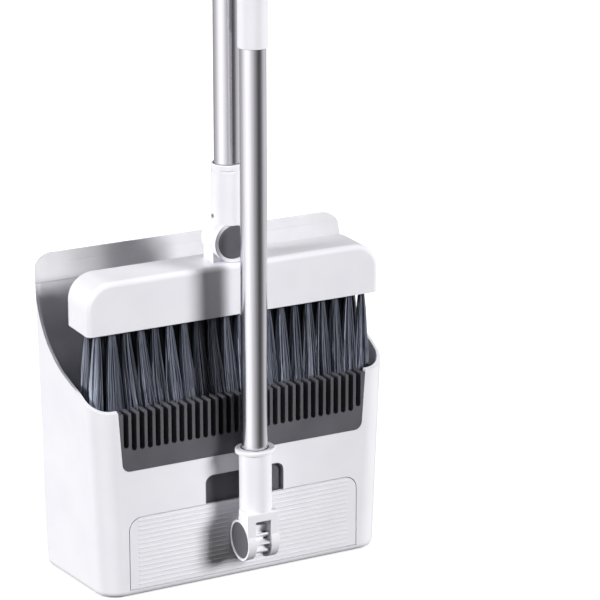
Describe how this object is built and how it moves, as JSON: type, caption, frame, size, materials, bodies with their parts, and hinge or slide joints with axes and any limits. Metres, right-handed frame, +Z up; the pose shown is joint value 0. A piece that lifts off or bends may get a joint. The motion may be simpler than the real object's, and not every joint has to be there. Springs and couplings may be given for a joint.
{
  "type": "dustpan and broom set",
  "caption": "Long-handled dustpan and broom stored upright as one set: folding pan handle with comb in the roof, tilting broom head, telescoping broom pole.",
  "frame": {"origin": "centre of the pan's base face, which the stored set stands on", "axes": "+Z up along both poles, +X to the right, +Y from the roof side with the pan handle to the floor side of the pan"},
  "size_m": [0.287, 0.2378, 1.168],
  "materials": {
    "white_plastic": "satin moulded",
    "grey_plastic": "satin moulded",
    "lip_soft": "soft, satin",
    "tube_steel": "polished along the tube",
    "screw_steel": "zinc plated",
    "soft_pad": "soft, fine grain",
    "bristle_nylon": "split-tip filament tufts"
  },
  "bodies": {
    "pan": {"pan_shell": "white_plastic", "lip_strip": "lip_soft", "comb": "grey_plastic", "step_plate": "white_plastic", "window_insert": "grey_plastic", "hinge_hub": "white_plastic", "hub_screws": "screw_steel"},
    "pan_handle": {"hinge_yoke": "white_plastic", "yoke_cap_left": "grey_plastic", "yoke_cap_right": "grey_plastic", "hinge_bolt": "screw_steel", "hinge_nut": "screw_steel", "friction_disc": "grey_plastic", "yoke_screw": "screw_steel", "pan_pole_lower": "tube_steel", "pan_coupler": "white_plastic", "coupler_stud": "grey_plastic", "pan_pole_upper": "tube_steel", "pan_grip": "white_plastic", "grip_pad": "soft_pad", "broom_clip": "white_plastic"},
    "broom_head": {"broom_block": "white_plastic", "bristle_plate": "grey_plastic", "plate_screws": "screw_steel", "bristles": "bristle_nylon", "tilt_bolt": "screw_steel", "tilt_nut": "screw_steel", "spring_washer": "screw_steel", "tilt_cap_rear": "grey_plastic"},
    "broom_pole": {"tilt_socket": "white_plastic", "tilt_cap_front": "grey_plastic", "socket_screw": "screw_steel", "broom_pole_lower": "tube_steel", "broom_coupler": "white_plastic", "broom_pole_upper": "tube_steel"},
    "lock_collar": {"lock_collar": "white_plastic"},
    "broom_extension": {"broom_inner_tube": "tube_steel", "expander_plug": "grey_plastic", "broom_grip": "white_plastic", "hang_liner": "grey_plastic"}
  },
  "joints": [
    {"name": "pan_handle_hinge", "type": "hinge", "parent": "pan", "child": "pan_handle", "pos_m": [0, -0.0692, 0.04], "axis": [1, 0, 0], "range_deg": [0, 90]},
    {"name": "broom_lift", "type": "slide", "parent": "pan", "child": "broom_head", "axis": [0, 0, 1], "range_m": [0, 0.3]},
    {"name": "broom_head_tilt", "type": "hinge", "parent": "broom_head", "child": "broom_pole", "pos_m": [0, -0.0227, 0.288], "axis": [0, 1, 0], "range_deg": [-90, 90]},
    {"name": "collar_twist", "type": "hinge", "parent": "broom_pole", "child": "lock_collar", "pos_m": [0, -0.0227, 0.817], "axis": [0, 0, 1], "range_deg": [0, 90]},
    {"name": "pole_extension", "type": "slide", "parent": "broom_pole", "child": "broom_extension", "axis": [0, 0, 1], "range_m": [-0.16, 0.08]}
  ]
}
